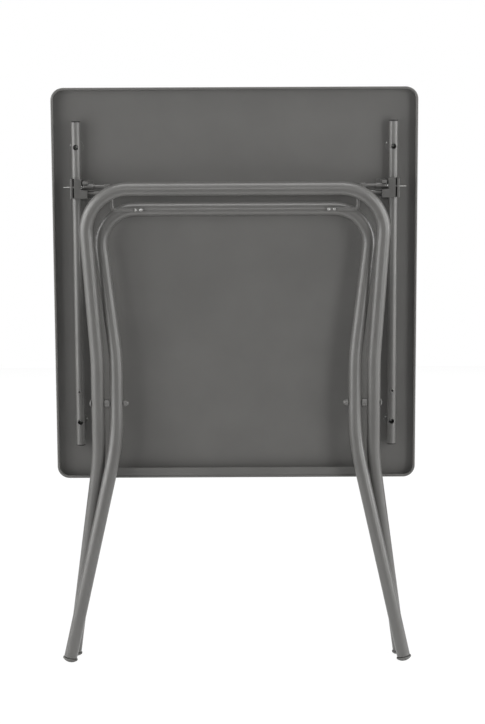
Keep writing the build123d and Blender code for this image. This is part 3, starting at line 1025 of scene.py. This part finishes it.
@dataclass
class MouldedFeet:
    """Moulded feet: a ribbed plug in the tube, a narrow neck, a rim and a bowl worn flat below."""

    rim_radius: float = 0.0124
    rim_height: float = 0.0024
    rim_round: float = 0.0006
    bowl_depth: float = 0.0052
    bowl_steps: int = 14
    flat_depth: float = 0.0004
    neck_radius: float = 0.0078
    neck_height: float = 0.0015
    tube_bore: float = 0.0097
    tip_inset: float = 0.0008
    rib_depth: float = 0.0004
    ribs: int = 5
    rib_shares: tuple[float, float, float] = (0.15, 0.6, 0.75)
    groove_share: float = 0.72
    groove_depth: float = 0.0004
    steps_round: int = 48

    def build(self, shelf: FinishShelf) -> list[bpy.types.Object]:
        """Make the four feet."""
        bodies = (Body.INNER_FRAME, Body.OUTER_FRAME)
        return [self.foot(shelf, side, body) for body in bodies for side in Side]

    def foot(self, shelf: FinishShelf, side: Side, body: Body) -> bpy.types.Object:
        """Make one foot along its own leg.

        Args:
            shelf: the finishes.
            side: the foot's side.
            body: the leg frame that the foot is on.

        Returns:
            The foot.
        """
        word = body.value.removesuffix("_frame")
        node = f"{side.word}_{word}_foot"
        ball = (self.rim_radius**2 + self.bowl_depth**2) / (2 * self.bowl_depth)
        centre = frame_point(f"{side.word}_{word}_sole") + Vector((0, 0, ball - self.flat_depth))
        reaches = [vert.co - centre for vert in frame["nodes"][node].data.vertices]
        plug_end = {tuple(round(c, POINT_DIGITS) for c in reach) for reach in reaches if reach.z > 0}
        axis = sum((Vector(point) for point in plug_end), Vector((0, 0, 0))) / len(plug_end)
        piece = Workpiece(f"{node}_moulded")
        blank = piece.turned(self.profile(ball + axis.length), self.steps_round)
        piece.add(blank, seat(centre - axis.normalized() * ball, axis, TRAY.out))
        self.stand_flat(piece.sheet)
        return piece.finish(shelf, Finish.FOOT, body, node)

    def profile(self, length: float) -> Profile:
        """Profile of a foot from the bottom of its bowl to the end of its plug.

        Args:
            length: the foot's whole length.

        Returns:
            Points of radius and height.
        """
        dome = cap_arc(self.rim_radius, self.bowl_depth, 0.0, steps=self.bowl_steps)
        bowl = [(radius, -height) for radius, height in reversed(dome)]
        groove_radius = self.rim_radius * self.groove_share
        groove = next(i for i, (radius, _) in enumerate(bowl) if radius > groove_radius)
        bowl[groove] = (bowl[groove][0] - self.groove_depth, bowl[groove][1] + self.groove_depth)
        rim_top = self.bowl_depth + self.rim_height
        start = rim_top + self.neck_height
        shoulder = [(self.rim_radius, rim_top - self.rim_round),
                    (self.rim_radius - self.rim_round, rim_top),
                    (self.neck_radius, rim_top), (self.neck_radius, start)]
        pitch = (length - start) / self.ribs
        plug = []
        for rib in range(self.ribs):
            low = start + rib * pitch
            begin, end, foot = (low + pitch * share for share in self.rib_shares)
            plug += [(self.tube_bore, begin), (self.tube_bore, end),
                     (self.tube_bore - self.rib_depth, foot)]
        return bowl + shoulder + plug + [(self.tube_bore - self.tip_inset, length), (0.0, length)]

    def stand_flat(self, sheet: bmesh.types.BMesh) -> None:
        """Cut a foot level with the floor and close the cut.

        Args:
            sheet: the foot's mesh, in the world.
        """
        everything = sheet.verts[:] + sheet.edges[:] + sheet.faces[:]
        cut = bmesh.ops.bisect_plane(sheet, geom=everything, plane_co=(0, 0, 0), plane_no=(0, 0, -1),
                                     clear_outer=True, dist=MERGE_DISTANCE)
        rim = [item for item in cut["geom_cut"] if isinstance(item, bmesh.types.BMEdge)]
        bmesh.ops.contextual_create(sheet, geom=rim)
        bmesh.ops.recalc_face_normals(sheet, faces=sheet.faces)


@dataclass
class WeldSeams:
    """Rippled weld beads between the stub axle lugs and the outer frame's tube."""

    bead_radius: float = 0.0013
    ripple_share: float = 0.16
    ripples: int = 7
    steps_a_ripple: int = 4
    steps_round: int = 14
    lug_width: float = 0.0085
    lug_low_drop: float = 0.0048
    lug_top_rise: float = 0.0042
    collar_radius: float = 0.0047
    tube_radius: float = 0.011
    crossbar_drop: float = 0.0025
    crossbar_axle_gap: float = 0.0127

    def build(self, shelf: FinishShelf) -> bpy.types.Object:
        """Make the beads over and under both lugs.

        Args:
            shelf: the finishes.

        Returns:
            The four beads as one piece.
        """
        piece = Workpiece("stub_lug_welds")
        for side in Side:
            place = solids_of(f"{side.word}_stub_axle")[0]
            axle_up = place.low.y + self.lug_low_drop
            crossbar_out = place.low.z + self.collar_radius + self.crossbar_axle_gap + self.tube_radius
            for above in (-self.lug_low_drop, self.lug_top_rise):
                rise = above + self.crossbar_drop
                out = crossbar_out - math.sqrt(self.tube_radius**2 - rise**2)
                origin = TRAY.spot(place.inner_end, axle_up + above, out)
                bead = piece.turned(self.profile(), self.steps_round)
                piece.add(bead, seat(origin, TRAY.across * side.value, TRAY.out))
        return piece.finish(shelf, Finish.TUBE, Body.OUTER_FRAME)

    def profile(self) -> Profile:
        """Profile of one bead, with a ridge for each stroke of the weld.

        Returns:
            Points of radius and height.
        """
        count = self.ripples * self.steps_a_ripple
        body = []
        for i in range(1, count):
            share = i / count
            swell = 1 - self.ripple_share * abs(math.sin(math.pi * share * self.ripples))
            ends = math.sqrt(math.sin(math.pi * share))
            body.append((self.bead_radius * swell * ends, self.lug_width * share))
        return [(0.0, 0.0), *body, (0.0, self.lug_width)]


# Studio


@dataclass
class SoftLamp:
    """One large soft lamp that looks at a point of the table."""

    name: str
    place: Point
    aim: Point
    size: tuple[float, float]
    watts: float

    def build(self) -> bpy.types.Object:
        """Make the lamp.

        Returns:
            The lamp.
        """
        light = bpy.data.lights.new(self.name, "AREA")
        light.shape = "RECTANGLE"
        light.size, light.size_y = self.size
        light.energy = self.watts
        lamp = bpy.data.objects.new(self.name, light)
        bpy.context.scene.collection.objects.link(lamp)
        turn = (Vector(self.aim) - Vector(self.place)).to_track_quat("-Z", "Y")
        lamp.matrix_world = Matrix.Translation(self.place) @ turn.to_matrix().to_4x4()
        return lamp


@dataclass
class BlackFlag:
    """Black card that shows only in reflections, which keeps stray white off the coat."""

    name: str
    corners: tuple[Point, Point, Point, Point]
    cloth_colour: Colour = (0.012, 0.012, 0.012)
    nap_colour: Colour = (0.02, 0.02, 0.02)
    nap_waves: float = 300.0

    def build(self) -> bpy.types.Object:
        """Make the card.

        Returns:
            The card.
        """
        sheet = bmesh.new()
        sheet.faces.new([sheet.verts.new(corner) for corner in self.corners])
        mesh = bpy.data.meshes.new(f"studio_{self.name}")
        sheet.to_mesh(mesh)
        sheet.free()
        card = bpy.data.objects.new(f"studio_{self.name}", mesh)
        bpy.context.scene.collection.objects.link(card)
        mesh.materials.append(self.cloth())
        card.visible_camera = False
        card.visible_diffuse = False
        card.visible_shadow = False
        return card

    def cloth(self) -> bpy.types.Material:
        """Make the card's black cloth.

        Returns:
            The cloth's material.
        """
        sheet = NodeSheet(f"studio_{self.name}_cloth")
        cloth = sheet.node("ShaderNodeBsdfDiffuse", Roughness=1.0)
        nap = sheet.spread(sheet.noise(self.nap_waves), 0, 1)
        sheet.join(sheet.blend(nap, self.cloth_colour, self.nap_colour), cloth.inputs["Color"])
        return sheet.surface(cloth)


def upright(half_width: float, back: float, height: float) -> tuple[Point, Point, Point, Point]:
    """Corners of an upright card that stands on the floor."""
    return ((-half_width, back, 0.0), (half_width, back, 0.0), (half_width, back, height),
            (-half_width, back, height))


def lying(half_width: float, front: float, back: float, height: float) -> tuple[Point, Point, Point, Point]:
    """Corners of a card that lies level in front of the table."""
    return ((-half_width, front, height), (half_width, front, height), (half_width, back, height),
            (-half_width, back, height))


@dataclass
class Studio:
    """Plain pale floor, surroundings that are white to the camera, soft lamps and black flags."""

    floor_size: float = 8.0
    floor_colour: Colour = (0.82, 0.82, 0.82)
    floor_roughness: float = 0.6
    speckle_waves: float = 9.0
    speckle_share: float = 0.985
    white_share: float = 0.88
    white_level: float = 1.07
    surround: float = 0.09
    backdrop_level: float = 1.0
    lamps: tuple[SoftLamp, ...] = (
        SoftLamp("left_side_light", (-2.9, -0.2, 1.2), (0, 0, 0.55), (0.9, 2.2), 32.0),
        SoftLamp("left_strip", (-1.1, -1.1, 0.75), (-0.1, 0, 0.6), (0.4, 1.3), 4.5),
        SoftLamp("left_low_strip", (-1.25, -0.6, 0.75), (-0.1, 0, 0.6), (0.4, 1.3), 7.0),
        SoftLamp("right_side_light", (2.9, -0.2, 1.2), (0, 0, 0.55), (0.9, 2.2), 42.0),
        SoftLamp("right_strip", (1.1, -1.1, 0.75), (0.1, 0, 0.6), (0.4, 1.3), 8.0),
        SoftLamp("right_low_strip", (1.25, -0.6, 0.75), (0.1, 0, 0.6), (0.4, 1.3), 2.5),
        SoftLamp("top_light", (0.0, -0.9, 3.1), (0, 0, 0.6), (2.2, 0.45), 9.0),
        SoftLamp("crown_light", (0.0, -0.35, 3.1), (0, 0, 0.6), (2.2, 0.45), 17.0),
        SoftLamp("front_glint", (0.0, -3.6, 1.15), (0, 0, 0.5), (0.3, 0.3), 12.0),
        SoftLamp("back_light", (0.0, 3.4, 1.9), (0, 0, 0.5), (2.6, 2.0), 55.0),
    )
    flags: tuple[BlackFlag, ...] = (
        BlackFlag("back_flag", upright(half_width=2.6, back=0.9, height=2.6)),
        BlackFlag("camera_flag", upright(half_width=3.2, back=-5.2, height=4.2)),
        BlackFlag("floor_flag", lying(half_width=3.2, front=-5.2, back=-0.6, height=0.004)),
    )

    def build(self) -> None:
        """Make the floor, the surroundings and the lamps."""
        self.floor()
        self.surroundings()
        for flag in self.flags:
            flag.build()
        for lamp in self.lamps:
            lamp.build()
            log.info("lamp %s, %.0f W", lamp.name, lamp.watts)

    def floor(self) -> None:
        """Make the floor that the feet stand on."""
        sheet = bmesh.new()
        bmesh.ops.create_grid(sheet, x_segments=1, y_segments=1, size=self.floor_size / 2)
        mesh = bpy.data.meshes.new("studio_floor")
        sheet.to_mesh(mesh)
        sheet.free()
        floor = bpy.data.objects.new("studio_floor", mesh)
        bpy.context.scene.collection.objects.link(floor)
        mesh.materials.append(self.floor_paint())

    def floor_paint(self) -> bpy.types.Material:
        """Make the floor's pale paint, mostly plain white to the camera with the shadow kept.

        Returns:
            The paint's material.
        """
        sheet = NodeSheet("studio_floor_paint")
        paint = sheet.node("ShaderNodeBsdfDiffuse", Roughness=self.floor_roughness)
        speckle = sheet.spread(sheet.noise(self.speckle_waves), 0, 1)
        darker = tuple(c * self.speckle_share for c in self.floor_colour)
        sheet.join(sheet.blend(speckle, self.floor_colour, darker), paint.inputs["Color"])
        white = sheet.node("ShaderNodeEmission", Color=(1, 1, 1, 1), Strength=self.white_level)
        share = sheet.node("ShaderNodeMath", operation="MULTIPLY")
        sheet.join(seen_directly(sheet.tree), share.inputs[0])
        share.inputs[1].default_value = self.white_share
        mix = sheet.node("ShaderNodeMixShader")
        sheet.join(share.outputs[0], mix.inputs[0])
        sheet.join(paint.outputs[0], mix.inputs[1])
        sheet.join(white.outputs[0], mix.inputs[2])
        return sheet.surface(mix)

    def surroundings(self) -> None:
        """Make the world: white to the camera, a plain soft grey light to the table."""
        world = bpy.data.worlds.new("studio_world")
        world.use_nodes = True
        bpy.context.scene.world = world
        tree = world.node_tree
        back = tree.nodes["Background"]
        back.inputs["Color"].default_value = (1, 1, 1, 1)
        level = tree.nodes.new("ShaderNodeMapRange")
        tree.links.new(seen_directly(tree), level.inputs["Value"])
        level.inputs["To Min"].default_value = self.surround
        level.inputs["To Max"].default_value = self.backdrop_level
        tree.links.new(level.outputs["Result"], back.inputs["Strength"])


def seen_directly(tree: bpy.types.NodeTree) -> bpy.types.NodeSocket:
    """Find whether a ray comes from the camera, a mirror or a clear piece.

    Args:
        tree: the node tree that gets the nodes.

    Returns:
        A value that is 1 for such rays and 0 for the rest.
    """
    path = tree.nodes.new("ShaderNodeLightPath")
    total = path.outputs["Is Camera Ray"]
    for word in ("Is Glossy Ray", "Is Transmission Ray"):
        larger = tree.nodes.new("ShaderNodeMath")
        larger.operation = "MAXIMUM"
        tree.links.new(total, larger.inputs[0])
        tree.links.new(path.outputs[word], larger.inputs[1])
        total = larger.outputs[0]
    return total


@dataclass
class PhotoCamera:
    """Camera at the photograph's viewing angle."""

    place: Point = (0.0113, -3.2885, 0.908)
    pitch_deg: float = 6.96
    roll_deg: float = -0.26
    sensor_height: float = 24.0
    focal_px: float = 2000.0
    photo_height_px: float = 724.0
    far_limit: float = 60.0

    def build(self) -> None:
        """Make the camera and put it in use."""
        camera = bpy.data.cameras.new("photo_camera")
        camera.sensor_fit = "VERTICAL"
        camera.sensor_height = self.sensor_height
        camera.lens = self.sensor_height * (self.focal_px / self.photo_height_px)
        camera.clip_end = self.far_limit
        stand = bpy.data.objects.new("photo_camera", camera)
        bpy.context.scene.collection.objects.link(stand)
        tilt = Matrix.Rotation(math.radians(90 - self.pitch_deg), 4, "X")
        roll = Matrix.Rotation(math.radians(self.roll_deg), 4, "Z")
        stand.matrix_world = Matrix.Translation(self.place) @ tilt @ roll
        bpy.context.scene.camera = stand


def main() -> None:
    """Dress the frame, build its small fittings and set the studio."""
    logging.basicConfig(level=logging.INFO, format="%(name)s: %(message)s")
    PhotoCamera().build()
    shelf = FinishShelf()
    shelf.dress_nodes()
    for fittings in (RailScrews(), StopRivets(), RailEndCaps(), WeldNubs(), ClampScrews(), PivotHardware(),
                     CrankRivets(), MouldedFeet(), WeldSeams()):
        fittings.build(shelf)
    Studio().build()
    bpy.context.scene.view_settings.view_transform = "Standard"


if __name__ == "__main__":
    main()
